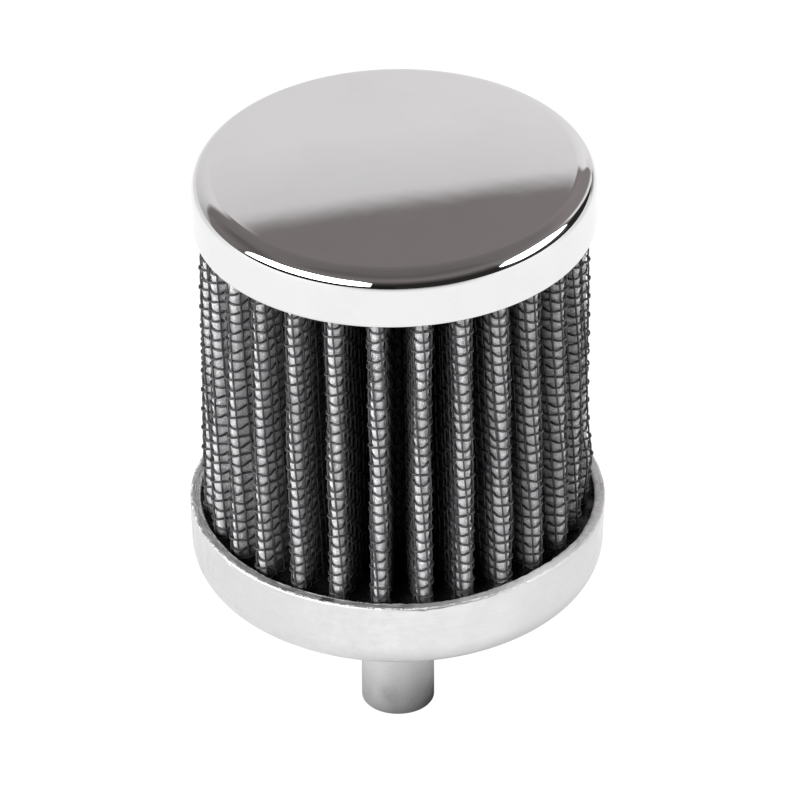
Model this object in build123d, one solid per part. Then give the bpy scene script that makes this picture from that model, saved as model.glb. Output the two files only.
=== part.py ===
from build123d import *
import math
import os

# Crankcase breather filter: a round pleated element of cotton gauze between
# two woven wire screens, potted in resin into a chromed cap at the top and an
# aluminium base cup at the bottom, with a push-on hose spigot under the base.
# Millimetres. The origin is on the spigot's axis at the underside of the base
# cup, +Z is up and the spigot points down.

# ---------------------------------------------------------------- dimensions
# base cup, a spun pan
BASE_R = 27.0            # outer radius at the rim
BASE_R_LOW = 26.8        # outer radius where the bottom edge starts to turn in
BASE_H = 10.5            # height
BASE_WALL = 1.2          # wall and floor
BASE_EDGE_R = 4.6        # rounded bottom edge, outside
RIM_BREAK = 0.15         # broken corners of the rim

# spigot, a tube of 3/8 inch, necked where it goes through the cup's floor
SPIGOT_R = 4.7625
SPIGOT_BORE_R = 3.55
SPIGOT_NECK_R = 4.5      # through the floor and up inside the cup
SPIGOT_LEN = 21.7        # below the base cup
SPIGOT_TOP = 11.6        # the inner end stands above the resin
FLANGE_R = 6.6           # bead upset inside the cup, which locks the tube
FLANGE_T = 1.2
SPIGOT_CHAMFER = 0.3

# pleated element
PLEAT_ANGLES = [         # each pleat, counted from -Y towards +X: hand-spaced
    -83.6, -70.6, -57.9, -45.0, -31.6, -17.9, -4.5, 8.7, 21.6,
    34.2, 47.5, 61.3, 75.2, 89.0, 102.6, 116.1, 129.4, 142.9,
    156.1, 169.6, 182.9, 196.2, 209.8, 223.1, 236.4, 249.9, 263.1]
PACK_R = 25.1            # over the outer screen's pleat tips
PACK_DX = -0.33          # the element stands a little off the spigot's axis
PLEAT_HALF = 1.48        # half the thickness of one pleat, over both its legs
SCREEN_T = 0.5           # outer woven screen: two crossing wires
GAUZE_T = 0.6            # cotton gauze
INNER_T = 0.2            # inner screen
VALLEY_R = 0.15          # bend of the outer screen in each valley, outside
PACK_Z0 = 3.8            # the element's ends, both sunk in resin
PACK_Z1 = 57.4

# resin
RESIN_TOP_Z = 9.0        # level in the base cup
CAP_RESIN_Z = 54.5       # level in the cap
RESIN_LIP = 0.35         # the resin climbs the cup's wall by this much

# cap, a drawn cup
CAP_R = 25.93
CAP_Z0 = 52.67           # edge of the skirt
CAP_Z1 = 60.5            # top
CAP_WALL = 0.7
CAP_EDGE_R = 2.6         # rounded top edge, outside
CAP_CROWN = 0.25         # the top is slightly domed
CAP_TILT = -0.98         # degrees about Y: the cap was potted slightly askew
CAP_PIVOT_Z = 57.0
CAP_DX = -0.353

# ---------------------------------------------------------------- helpers


def at(cx, cy, ang, r):
    """Point at radius r and angle ang, counted from -Y towards +X."""
    a = math.radians(ang)
    return (cx + r * math.sin(a), cy - r * math.cos(a))


def pleat_wire(half):
    """Closed outline of the pleats at a distance `half` from each pleat's
    mid plane: a half-round tip, two straight legs and a round valley bend."""
    tip_c = PACK_R - PLEAT_HALF
    edges = []
    for i, ang in enumerate(PLEAT_ANGLES):
        nxt = PLEAT_ANGLES[(i + 1) % len(PLEAT_ANGLES)]
        if nxt < ang:
            nxt += 360
        half_step = math.radians((nxt - ang) / 2)
        # where the two legs leave room for the valley bend
        valley_c = (PLEAT_HALF + VALLEY_R) / math.sin(half_step)
        valley_r = PLEAT_HALF + VALLEY_R - half
        a, b = math.radians(ang), math.radians(nxt)
        # across each pleat, towards the next one
        ax, ay = math.cos(a), math.sin(a)
        bx, by = math.cos(b), math.sin(b)
        t = at(PACK_DX, 0, ang, tip_c)
        n = at(PACK_DX, 0, nxt, tip_c)
        v = at(PACK_DX, 0, (ang + nxt) / 2, valley_c)
        left = (t[0] - half * ax, t[1] - half * ay)
        right = (t[0] + half * ax, t[1] + half * ay)
        crest = at(PACK_DX, 0, ang, tip_c + half)
        v_in = (v[0] - valley_r * ax, v[1] - valley_r * ay)
        v_out = (v[0] + valley_r * bx, v[1] + valley_r * by)
        v_low = at(PACK_DX, 0, (ang + nxt) / 2, valley_c - valley_r)
        n_left = (n[0] - half * bx, n[1] - half * by)
        edges.append(ThreePointArc(left, crest, right))
        edges.append(Line(right, v_in))
        edges.append(ThreePointArc(v_in, v_low, v_out))
        edges.append(Line(v_out, n_left))
    return Wire(edges)


def pleat_ring(half_out, half_in, z0, z1):
    """Pleated sheet between two offsets of the pleats' mid plane."""
    face = Face(pleat_wire(half_out), [pleat_wire(half_in)])
    return extrude(Pos(0, 0, z0) * face, amount=z1 - z0, dir=(0, 0, 1))


def turned(points):
    """Solid of revolution about Z of a closed outline in the XZ plane.
    A point is (r, z), or (r, z, rm, zm) for an arc through (rm, zm)."""
    edges = []
    n = len(points)
    for i in range(n):
        p, q = points[i], points[(i + 1) % n]
        a, b = (p[0], 0, p[1]), (q[0], 0, q[1])
        if len(q) == 4:
            edges.append(ThreePointArc(a, (q[2], 0, q[3]), b))
        else:
            edges.append(Line(a, b))
    return revolve(Face(Wire(edges)), Axis.Z, 360)


def arc_mid(cx, cz, r, ang):
    a = math.radians(ang)
    return (cx + r * math.cos(a), cz + r * math.sin(a))


def tilted(shape):
    """Put a piece that was modelled upright into the cap's real attitude."""
    return (Pos(CAP_DX, 0, CAP_PIVOT_Z) * Rot(0, CAP_TILT, 0)
            * Pos(0, 0, -CAP_PIVOT_Z) * shape)


# ---------------------------------------------------------------- base cup
# One spun pan: slightly drafted wall, full round bottom edge, flat floor with
# a hole that the spigot goes through.
ri = BASE_R - BASE_WALL              # inner radius at the rim
ri_low = BASE_R_LOW - BASE_WALL
er, ei = BASE_EDGE_R, BASE_EDGE_R - BASE_WALL
mo = arc_mid(BASE_R_LOW - er, er, er, -45)
mi = arc_mid(BASE_R_LOW - er, er, ei, -45)
base_cup = turned([
    (SPIGOT_NECK_R, 0),
    (BASE_R_LOW - er, 0),
    (BASE_R_LOW, er, mo[0], mo[1]),
    (BASE_R, BASE_H - RIM_BREAK),
    (BASE_R - RIM_BREAK, BASE_H),
    (ri + RIM_BREAK, BASE_H),
    (ri, BASE_H - RIM_BREAK),
    (ri_low, er),
    (BASE_R_LOW - er, BASE_WALL, mi[0], mi[1]),
    (SPIGOT_NECK_R, BASE_WALL),
])

# ---------------------------------------------------------------- spigot
# Tube through the floor: its shoulder bears on the cup's underside and a bead
# upset inside the cup holds it down. The outer end is cut square with a small
# chamfer in and out.
c = SPIGOT_CHAMFER
spigot = turned([
    (SPIGOT_BORE_R + c, -SPIGOT_LEN),
    (SPIGOT_R - c, -SPIGOT_LEN),
    (SPIGOT_R, -SPIGOT_LEN + c),
    (SPIGOT_R, 0),
    (SPIGOT_NECK_R, 0),
    (SPIGOT_NECK_R, BASE_WALL),
    (FLANGE_R, BASE_WALL),
    (FLANGE_R, BASE_WALL + FLANGE_T),
    (SPIGOT_NECK_R, BASE_WALL + FLANGE_T),
    (SPIGOT_NECK_R, SPIGOT_TOP - c),
    (SPIGOT_NECK_R - c, SPIGOT_TOP),
    (SPIGOT_BORE_R + c, SPIGOT_TOP),
    (SPIGOT_BORE_R, SPIGOT_TOP - c),
    (SPIGOT_BORE_R, -SPIGOT_LEN + c),
])

# ---------------------------------------------------------------- element
# Three nested pleated layers, each one piece and each full length.
h0 = PLEAT_HALF
h1 = h0 - SCREEN_T
h2 = h1 - GAUZE_T
h3 = h2 - INNER_T
outer_screen = pleat_ring(h0, h1, PACK_Z0, PACK_Z1)
gauze_media = pleat_ring(h1, h2, PACK_Z0, PACK_Z1)
inner_screen = pleat_ring(h2, h3, PACK_Z0, PACK_Z1)
element = pleat_ring(h0, h3, PACK_Z0, PACK_Z1)      # room they take in resin

# ---------------------------------------------------------------- resin
# Bottom: poured into the base cup round the spigot, with a low meniscus
# against the cup's wall. The element's lower end stands in it.
slope = (BASE_R - BASE_R_LOW) / (BASE_H - BASE_EDGE_R)


def cup_inner(z):
    return ri_low + slope * (z - BASE_EDGE_R)


lip_z = RESIN_TOP_Z + RESIN_LIP
bottom_body = turned([
    (SPIGOT_NECK_R, BASE_WALL + FLANGE_T),
    (FLANGE_R, BASE_WALL + FLANGE_T),
    (FLANGE_R, BASE_WALL),
    (BASE_R_LOW - er, BASE_WALL),
    (ri_low, er, mi[0], mi[1]),
    (cup_inner(lip_z), lip_z),
    (cup_inner(RESIN_TOP_Z) - 0.4, RESIN_TOP_Z),
    (SPIGOT_NECK_R, RESIN_TOP_Z),
])
bottom_potting = bottom_body - element

# Top: fills the cap down to its level, which is square to the cap.
co, ci = CAP_EDGE_R, CAP_EDGE_R - CAP_WALL
cap_ri = CAP_R - CAP_WALL
to = arc_mid(CAP_R - co, CAP_Z1 - CAP_CROWN - co, co, 45)
ti = arc_mid(CAP_R - co, CAP_Z1 - CAP_CROWN - co, ci, 45)
flat = CAP_R - co                   # the dome starts here
top_in = CAP_Z1 - CAP_WALL
# the dome is part of a large sphere: its drop at half of that radius
dome_r = (flat ** 2 + CAP_CROWN ** 2) / (2 * CAP_CROWN)
half_drop = dome_r - math.sqrt(dome_r ** 2 - (flat / 2) ** 2)
top_body = turned([
    (0, CAP_RESIN_Z),
    (cap_ri, CAP_RESIN_Z),
    (cap_ri, CAP_Z1 - CAP_CROWN - co),
    (flat, top_in - CAP_CROWN, ti[0], ti[1]),
    (0, top_in, flat / 2, top_in - half_drop),
])
top_potting = tilted(top_body) - element

# ---------------------------------------------------------------- cap
# One drawn cup: straight skirt, round edge, slightly domed top.
cap_body = turned([
    (cap_ri, CAP_Z0 + 0.1),
    (cap_ri + 0.1, CAP_Z0),
    (CAP_R - 0.15, CAP_Z0),
    (CAP_R, CAP_Z0 + 0.15),
    (CAP_R, CAP_Z1 - CAP_CROWN - co),
    (flat, CAP_Z1 - CAP_CROWN, to[0], to[1]),
    (0, CAP_Z1, flat / 2, CAP_Z1 - half_drop),
    (0, top_in),
    (flat, top_in - CAP_CROWN, flat / 2, top_in - half_drop),
    (cap_ri, CAP_Z1 - CAP_CROWN - co, ti[0], ti[1]),
])
top_cap = tilted(cap_body)

# ---------------------------------------------------------------- write
os.makedirs("parts", exist_ok=True)
PIECES = {
    "top_cap": top_cap,
    "top_potting": top_potting,
    "outer_screen": outer_screen,
    "gauze_media": gauze_media,
    "inner_screen": inner_screen,
    "bottom_potting": bottom_potting,
    "base_cup": base_cup,
    "spigot": spigot,
}
for name, shape in PIECES.items():
    solids = shape.solids()
    piece = solids[0] if len(solids) == 1 else Compound(children=list(solids))
    piece.label = name
    export_step(piece, "parts/" + name + ".step")
    print(name, len(solids), "solid(s)", round(piece.volume, 1), "mm3")
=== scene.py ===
import math

import bpy
import numpy as np
from mathutils import Matrix


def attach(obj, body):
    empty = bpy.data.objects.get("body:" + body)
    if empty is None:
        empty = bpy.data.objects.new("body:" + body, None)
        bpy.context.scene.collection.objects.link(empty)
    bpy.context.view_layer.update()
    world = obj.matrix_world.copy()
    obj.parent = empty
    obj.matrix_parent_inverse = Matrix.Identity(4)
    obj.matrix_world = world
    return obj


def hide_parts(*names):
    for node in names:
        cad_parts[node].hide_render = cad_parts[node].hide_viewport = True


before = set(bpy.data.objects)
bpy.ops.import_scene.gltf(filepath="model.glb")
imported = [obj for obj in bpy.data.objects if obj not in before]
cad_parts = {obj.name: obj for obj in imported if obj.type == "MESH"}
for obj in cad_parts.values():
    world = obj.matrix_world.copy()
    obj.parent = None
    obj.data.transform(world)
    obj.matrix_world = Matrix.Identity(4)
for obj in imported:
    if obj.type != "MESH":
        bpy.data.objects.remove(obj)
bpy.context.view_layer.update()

# Crankcase breather filter. Lengths here are millimetres in the CAD's frame:
# +Z up, -Y towards the camera, +X to its right. Meshes are written in metres.
MM = 0.001
rng = np.random.default_rng(20)

# ------------------------------------------------------------------ dimensions
BASE_R, BASE_R_LOW, BASE_H, BASE_WALL, BASE_EDGE_R = 27.0, 26.8, 10.5, 1.2, 4.6
SPIGOT_R, BORE_R, NECK_R = 4.7625, 3.55, 4.5
SPIGOT_LEN, SPIGOT_TOP, FLANGE_R, FLANGE_T = 21.7, 11.6, 6.6, 1.2
CAP_R, CAP_Z0, CAP_Z1, CAP_WALL, CAP_EDGE_R, CAP_CROWN = 25.93, 52.67, 60.5, 0.7, 2.6, 0.25
CAP_TILT, CAP_PIVOT_Z, CAP_DX = -0.98, 57.0, -0.353
RESIN_Z = 9.0

PACK_DX = -0.33
PLEAT_HALF = 1.48            # half thickness of one pleat, over the wires
VALLEY_R = 0.15
# each pleat, counted from -Y towards +X; the cloth's seam is at the back
PLEATS = np.radians(np.array([
    -177.1, -163.8, -150.2, -136.9, -123.6, -110.1, -96.9,
    -83.6, -70.6, -57.9, -45.0, -31.6, -17.9, -4.5, 8.7, 21.6,
    34.2, 47.5, 61.3, 75.2, 89.0, 102.6, 116.1, 129.4, 142.9,
    156.1, 169.6]))
N = len(PLEATS)

# woven wire cloth, cut slightly on the bias
WIRE_R = 0.138
WEFT_PITCH = 1.44
WARP_PITCH = 1.46
WEFT_CRIMP = 0.215
WARP_CRIMP = 0.05
BIAS = math.radians(3.4)
MID = PLEAT_HALF - WEFT_CRIMP - WIRE_R      # the cloth's mid surface
CLOTH_Z0, CLOTH_Z1 = 8.2, 55.4


# ------------------------------------------------------------------ mesh tools
def piece(name, verts, quads, tris=None, slot=None, replaces=(), attrs=None):
    """A smooth-shaded mesh object from points in millimetres."""
    me = bpy.data.meshes.new(name)
    faces = np.asarray(quads).tolist()
    if tris is not None and len(tris):
        faces += np.asarray(tris).tolist()
    me.from_pydata((np.asarray(verts) * MM).tolist(), [], faces)
    me.polygons.foreach_set("use_smooth", np.ones(len(me.polygons), dtype=bool))
    for key, values in (attrs or {}).items():
        kind = "FLOAT" if values.ndim == 1 else "FLOAT_VECTOR"
        layer = me.attributes.new(key, kind, "POINT")
        layer.data.foreach_set("value" if kind == "FLOAT" else "vector",
                               values.astype(np.float32).ravel())
    me.update()
    obj = bpy.data.objects.new(name, me)
    bpy.context.scene.collection.objects.link(obj)
    if slot:
        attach(obj, "root")
        if replaces:
            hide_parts(*replaces)
    n_tri = 2 * len(quads) + (0 if tris is None else len(tris))
    print("piece", name, n_tri, "triangles")
    return obj


def lathe(profile, n, loop=False, ang0=0.0):
    """Points and faces of a profile (r, z) turned about Z. Ends at r = 0
    become a single point. Returns the points, the quads and the triangles."""
    profile = np.asarray(profile, float)
    m = len(profile)
    th = ang0 + np.arange(n) * 2 * np.pi / n
    start = 1 if profile[0, 0] == 0 else 0
    stop = m - 1 if profile[-1, 0] == 0 else m
    ring = profile[start:stop]
    k = len(ring)
    verts = np.empty((k, n, 3))
    verts[..., 0] = ring[:, 0:1] * np.sin(th)
    verts[..., 1] = -ring[:, 0:1] * np.cos(th)
    verts[..., 2] = ring[:, 1:2]
    verts = verts.reshape(-1, 3)
    a = np.arange(n)
    b = (a + 1) % n
    quads = []
    for j in range(k if loop else k - 1):
        j2 = (j + 1) % k
        quads.append(np.stack([j * n + a, j2 * n + a, j2 * n + b, j * n + b], 1))
    quads = np.concatenate(quads)
    tris = []
    if start:
        top = len(verts)
        verts = np.vstack([verts, [0, 0, profile[0, 1]]])
        tris.append(np.stack([np.full(n, top), a, b], 1))
    if stop < m:
        low = len(verts)
        verts = np.vstack([verts, [0, 0, profile[-1, 1]]])
        tris.append(np.stack([np.full(n, low), (k - 1) * n + b, (k - 1) * n + a], 1))
    tris = np.concatenate(tris) if tris else np.zeros((0, 3), int)
    return verts, quads, tris


def arc(cx, cz, r, a0, a1, n):
    t = np.radians(np.linspace(a0, a1, n))
    return [(cx + r * math.cos(a), cz + r * math.sin(a)) for a in t]


class Ripple:
    """Smooth random field: a sum of waves with lengths between lo and hi."""

    def __init__(self, lo, hi, n=24, flat=False):
        d = rng.normal(size=(n, 3))
        if flat:
            d[:, 2] = 0
        d /= np.linalg.norm(d, axis=1)[:, None]
        self.k = d * (2 * np.pi / rng.uniform(lo, hi, n))[:, None]
        self.p = rng.uniform(0, 2 * np.pi, n)
        self.s = math.sqrt(2.0 / n)

    def __call__(self, p):
        return np.sin(p @ self.k.T + self.p).sum(-1) * self.s


# ------------------------------------------------------------- pleated surface
def curves(n, k, amp, lo, hi):
    """n smooth random curves over height, wavelengths from lo to hi."""
    w = 2 * np.pi / rng.uniform(lo, hi, (n, k))
    p = rng.uniform(0, 2 * np.pi, (n, k))
    a = rng.normal(0, amp / math.sqrt(k), (n, k))

    def f(i, z):
        return (a[i] * np.sin(w[i] * z[..., None] + p[i])).sum(-1)
    return f


lean = curves(N, 3, math.radians(0.16), 26, 90)
reach = curves(N, 3, 0.05, 14, 60)
fat = curves(N, 3, 0.035, 9, 40)
bow = curves(2 * N, 3, 0.06, 15, 60)
reach_each = rng.normal(0, 0.06, N)
reach_each[[6, 7, 20, 21]] = 0.03
# degrees by which each pleat leans at its foot and at its head
LEAN_LOW = np.radians(np.array(
    [0.2] * 7 + [0.0, 0.0, 0.05, 0.3, 0.3, 0.15, 0.0, -0.05, 0.25]
    + [1.1, 0.8, 0.9, 0.6, 0.4, 0.3, 0.2, 0.2, 0.2] + [0.2] * 2))
LEAN_TOP = np.radians(np.array(
    [-0.6] * 7 + [-0.5, -0.6, -0.6, -0.7, -0.8, -0.75, -0.9, -0.4, -0.35]
    + [-0.36, -0.9, -1.0, -0.8, -0.5, -0.5, -0.6, -0.6, -0.6] + [-0.6] * 2))


def e_r(a):
    return np.stack([np.sin(a), -np.cos(a)], -1)


def e_t(a):
    return np.stack([np.cos(a), np.sin(a)], -1)


def angle(i, z):
    turn, j = np.divmod(i, N)
    fade = np.clip((z - 8.5) / 6, 0, 1) * np.clip((55.5 - z) / 6, 0, 1)
    t = np.clip((z - 15) / 33, 0, 1)
    nudge = LEAN_LOW[j] * (1 - t) + LEAN_TOP[j] * t
    return PLEATS[j] + 2 * np.pi * turn + nudge + lean(j, z) * (0.35 + 0.65 * fade)


def tip_reach(i, z):
    """Radius over the wires at a pleat's tip: fullest in the middle."""
    t = np.clip((z - 9) / 45.0, 0, 1)
    full = 25.03 + 0.22 * np.sqrt(np.clip(np.sin(np.pi * t ** 0.8), 0, 1))
    bulge = np.where(i == 20, 0.60, 0.0) * np.exp(-((z - 16.0) / 4.2) ** 2)
    return full + bulge + np.clip(reach(i, z) + reach_each[i], -0.2, 0.06)


tip_half = np.pi / 2 * MID
gap_next = np.diff(np.append(PLEATS, PLEATS[0] + 2 * np.pi)) / 2
gap_prev = np.roll(gap_next, 1)


def side_lengths(hs):
    vc = (PLEAT_HALF + VALLEY_R) / np.sin(hs)
    leg = (25.1 - PLEAT_HALF) - vc * np.cos(hs)
    return leg, (PLEAT_HALF + VALLEY_R - MID) * (np.pi / 2 - hs)


leg_l, va_l = side_lengths(gap_prev)
leg_r, va_r = side_lengths(gap_next)
crest = va_l + leg_l + tip_half             # the tip, measured from the left valley
length = crest + tip_half + leg_r + va_r
start = np.concatenate([[0], np.cumsum(length)])
TOTAL = start[-1]


def locate(s):
    """Pleat number and distance along it of a distance along the cloth."""
    i = np.clip(np.searchsorted(start, s, side="right") - 1, 0, N - 1)
    return i, s - start[i]


def cloth(i, x, z, d):
    """Points, outward normals and depth below the tip of the pleated cloth,
    at an offset d from its mid surface."""
    A = angle(i, z)
    side = np.where(x < crest[i], -1.0, 1.0)
    B = np.where(side < 0, angle(i - 1, z), angle(i + 1, z))
    hs = np.abs(B - A) / 2
    h = MID + d + fat(i, z)
    er, et = e_r(A), e_t(A)
    c0 = np.array([PACK_DX, 0.0])
    ct = c0 + (tip_reach(i, z) - PLEAT_HALF)[..., None] * er
    V = c0 + ((PLEAT_HALF + VALLEY_R) / np.sin(hs))[..., None] * e_r(A + side * hs)
    rv = np.maximum(PLEAT_HALF + VALLEY_R - h, 0.06)
    leg = np.where(side < 0, leg_l[i], leg_r[i])
    va = np.where(side < 0, va_l[i], va_r[i])
    t = np.abs(x - crest[i])
    th = side * np.clip(t / tip_half, 0, 1) * np.pi / 2
    f = np.clip((t - tip_half) / leg, 0, 1)
    ph = np.clip((t - tip_half - leg) / va, 0, 1) * (np.pi / 2 - hs)
    on_tip = (t <= tip_half)[..., None]
    in_valley = (t > tip_half + leg)[..., None]
    n_tip = np.sin(th)[..., None] * et + np.cos(th)[..., None] * er
    n_leg = side[..., None] * et
    n_val = (side * np.cos(ph))[..., None] * et + np.sin(ph)[..., None] * er
    p0 = ct + (side * h)[..., None] * et
    p1 = V - (side * rv)[..., None] * et
    b = bow(2 * i + (side > 0), z) * np.sin(np.pi * f) * (1 - f)
    p_leg = p0 + f[..., None] * (p1 - p0) + (side * b)[..., None] * et
    p = np.where(on_tip, ct + h[..., None] * n_tip,
                 np.where(in_valley, V - rv[..., None] * n_val, p_leg))
    n = np.where(on_tip, n_tip, np.where(in_valley, n_val, n_leg))
    pts = np.concatenate([p, z[..., None]], -1)
    nrm = np.concatenate([n, np.zeros(z.shape + (1,))], -1)
    return pts, nrm, np.clip(t - tip_half, 0, None)


# the weave's own coordinates: a along the wefts, b across them
ca, sa = math.cos(BIAS), math.sin(BIAS)
n_warp = int((TOTAL * ca + CLOTH_Z1 * sa) / WARP_PITCH) + 4
n_weft = int((CLOTH_Z1 * ca + TOTAL * sa) / WEFT_PITCH) + 4
warp_a = (np.arange(n_warp) - 1) * WARP_PITCH + rng.normal(0, 0.07, n_warp) \
    + 0.12 * np.sin(np.arange(n_warp) * 0.83)
weft_b = (np.arange(n_weft) * WEFT_PITCH - TOTAL * sa) + rng.normal(0, 0.035, n_weft)


def warp_phase(a):
    return np.interp(a, warp_a, np.arange(n_warp))


def weft_phase(b):
    return np.interp(b, weft_b, np.arange(n_weft))


# ------------------------------------------------------------------ wire cloth
def tubes(lines, sides=4):
    """One mesh of tubes. A line is (points, normals, radius per point)."""
    verts, quads, extra, at = [], [], [], 0
    turn = np.arange(sides) * 2 * np.pi / sides + np.pi / sides
    for pts, nrm, rad, att in lines:
        m = len(pts)
        tan = np.gradient(pts, axis=0)
        tan /= np.linalg.norm(tan, axis=1)[:, None]
        bi = np.cross(tan, nrm)
        bi /= np.linalg.norm(bi, axis=1)[:, None]
        nn = np.cross(bi, tan)
        r = rad[:, None, None]
        ring = pts[:, None, :] + r * (np.cos(turn)[None, :, None] * nn[:, None, :]
                                      + np.sin(turn)[None, :, None] * bi[:, None, :])
        verts.append(ring.reshape(-1, 3))
        a = np.arange(sides)
        b = (a + 1) % sides
        j = np.arange(m - 1)[:, None] * sides + at
        q = np.stack([j + a, j + b, j + sides + b, j + sides + a], -1)
        quads.append(q.reshape(-1, 4))
        if sides == 4:
            quads.append(np.array([[at + 3, at + 2, at + 1, at]]))
            e = at + (m - 1) * sides
            quads.append(np.array([[e, e + 1, e + 2, e + 3]]))
        extra.append(np.repeat(att, sides))
        at += m * sides
    return np.concatenate(verts), np.concatenate(quads), np.concatenate(extra)


TUBE_R = WIRE_R * 1.10      # a square tube as thick as the round wire


def weft_lines(parity):
    lines = []
    for j in range(parity, n_weft, 2):
        b = weft_b[j]
        lo = max(0.0, (CLOTH_Z0 * ca - b) / sa)
        hi = min(TOTAL, (CLOTH_Z1 * ca - b) / sa)
        # s where the weft's height z = (b + s sin) / cos leaves the cloth
        if hi - lo < 4:
            continue
        a0, a1 = (lo + b * sa) / ca, (hi + b * sa) / ca
        k = np.arange(math.ceil(warp_phase(a0) * 4), math.floor(warp_phase(a1) * 4) + 1)
        a = np.interp(k / 4, np.arange(n_warp), warp_a)
        s = np.clip(a * ca - b * sa, 0, TOTAL - 1e-6)
        i, x = locate(s)
        deep = np.abs(x - crest[i]) - tip_half > 5.0
        keep = ~deep | (k % 2 == 0)
        keep[0] = keep[-1] = True
        k, a, s, i, x = k[keep], a[keep], s[keep], i[keep], x[keep]
        z = a * sa + b * ca
        d = WEFT_CRIMP * np.cos(np.pi * (k / 4 + j))
        pts, nrm, depth = cloth(i, x, z, d)
        if len(pts) > 3:
            lines.append((pts, nrm, np.full(len(pts), TUBE_R), depth))
    return lines


def warp_lines():
    lines = []
    for k in range(n_warp):
        a = warp_a[k]
        # s = a cos - b sin, z = a sin + b cos
        b0, b1 = (CLOTH_Z0 - a * sa) / ca, (CLOTH_Z1 - a * sa) / ca
        b1 = min(b1, (a * ca) / sa) if a * ca - b1 * sa < 0 else b1
        b0 = max(b0, (a * ca - TOTAL) / sa) if a * ca - b0 * sa > TOTAL else b0
        if b1 - b0 < 3:
            continue
        j = np.arange(math.ceil(weft_phase(b0) * 2), math.floor(weft_phase(b1) * 2) + 1)
        b = np.interp(j / 2, np.arange(n_weft), weft_b)
        b[0], b[-1] = b0, b1
        s = np.clip(a * ca - b * sa, 1e-6, TOTAL - 1e-6)
        i, x = locate(s)
        deep = np.abs(x - crest[i]) - tip_half > 3.5
        keep = ~deep | (j % 4 == 0)
        keep[0] = keep[-1] = True
        j, b, s, i, x = j[keep], b[keep], s[keep], i[keep], x[keep]
        z = a * sa + b * ca
        d = -WARP_CRIMP * np.cos(np.pi * (k + j / 2)) * (j % 2 == 0)
        pts, nrm, depth = cloth(i, x, z, d)
        if len(pts) > 2:
            lines.append((pts, nrm, np.full(len(pts), TUBE_R), depth))
    return lines


screens = []
for parity, name in ((0, "screen_wefts_a"), (1, "screen_wefts_b")):
    v, q, dep = tubes(weft_lines(parity))
    screens.append(piece(name, v, q, slot="screen_wire", replaces=("outer_screen",),
                         attrs={"depth": dep}))
v, q, dep = tubes(warp_lines())
screens.append(piece("screen_warps", v, q, slot="screen_wire", replaces=("outer_screen",),
                     attrs={"depth": dep}))

# ---------------------------------------------------------------- cotton gauze
cols_s = []
for i in range(N):
    c = crest[i]
    t_pos = list(np.linspace(0, tip_half, 5))
    for sgn, leg, va in ((-1, leg_l[i], va_l[i]), (1, leg_r[i], va_r[i])):
        side_t = t_pos[1:] + list(tip_half + np.array([0.42, 0.86, 1.3, 1.75, 2.25, 2.85, 3.7])) \
            + list(np.linspace(tip_half + 5.0, tip_half + leg, 4)) \
            + [tip_half + leg + va * 0.55]
        if sgn < 0:
            left = [c - t for t in side_t]
        else:
            right = [c + t for t in side_t]
    cols_s += sorted(left + [c] + right + [0.02]) if i else sorted(left + [c] + right + [0.0])
    cols_s[-len(left + right) - 2:] = [start[i] + q for q in
                                       cols_s[-len(left + right) - 2:]]
cols_s = np.array(cols_s)
cols_s = np.append(cols_s, TOTAL - 1e-4)
SUB = 3
G_Z0, G_Z1 = 8.3, 55.3
rho = np.arange(0, (n_weft - 1) * SUB + 1)
row_b = np.interp(rho / SUB, np.arange(n_weft), weft_b)
S, B = np.meshgrid(cols_s, row_b, indexing="ij")
Zraw = (B + S * sa) / ca
Z = np.clip(Zraw, G_Z0, G_Z1)
Bc = Z * ca - S * sa
Ac = S * ca + Z * sa
pa, pb = warp_phase(Ac), weft_phase(Bc)
cell = np.abs(np.sin(np.pi * pa)) ** 0.45 * np.abs(np.sin(np.pi * pb)) ** 0.45
I, X = locate(S)
lumps = Ripple(2.2, 6.5, 30)
small = Ripple(0.75, 1.6, 30)
flat_pts, _, _ = cloth(I, X, Z, np.zeros_like(Z))
puff = 0.16 + 0.04 * lumps(flat_pts) + 0.03 * small(flat_pts)
D = -0.36 + np.clip(puff, 0.05, 0.28) * cell + 0.015 * small(flat_pts + 7.0)
GP, GN, GD = cloth(I, X, Z, D)
n_c, n_r = S.shape
idx = np.arange(n_c * n_r).reshape(n_c, n_r)
qa = np.stack([idx[:-1, :-1], idx[1:, :-1], idx[1:, 1:], idx[:-1, 1:]], -1)
below = Zraw <= G_Z0
above = Zraw >= G_Z1
dead = (below[:-1, 1:] & below[1:, 1:]) | (above[:-1, :-1] & above[1:, :-1])
outer_q = qa[~dead]
# the inner face of the sheet, coarse
zi = np.linspace(G_Z0, G_Z1, 8)
S2, Z2 = np.meshgrid(cols_s[::2], zi, indexing="ij")
I2, X2 = locate(S2)
IP, IN_, ID = cloth(I2, X2, Z2, np.full_like(Z2, -0.68))
k2 = np.arange(S2.size).reshape(S2.shape) + n_c * n_r
inner_q = np.stack([k2[:-1, :-1], k2[:-1, 1:], k2[1:, 1:], k2[1:, :-1]], -1).reshape(-1, 4)
verts = np.concatenate([GP.reshape(-1, 3), IP.reshape(-1, 3)])
quads = np.concatenate([outer_q, inner_q])
cell_all = np.concatenate([cell.ravel(), np.zeros(S2.size)])
depth_all = np.concatenate([GD.ravel(), ID.ravel()])
weave_all = np.concatenate([
    np.stack([Ac.ravel(), Bc.ravel(), np.zeros(S.size)], -1),
    np.stack([(S2 * ca + Z2 * sa).ravel(), (Z2 * ca - S2 * sa).ravel(), np.zeros(S2.size)], -1)])
used = np.unique(quads)
remap = np.full(len(verts), -1)
remap[used] = np.arange(len(used))
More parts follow.
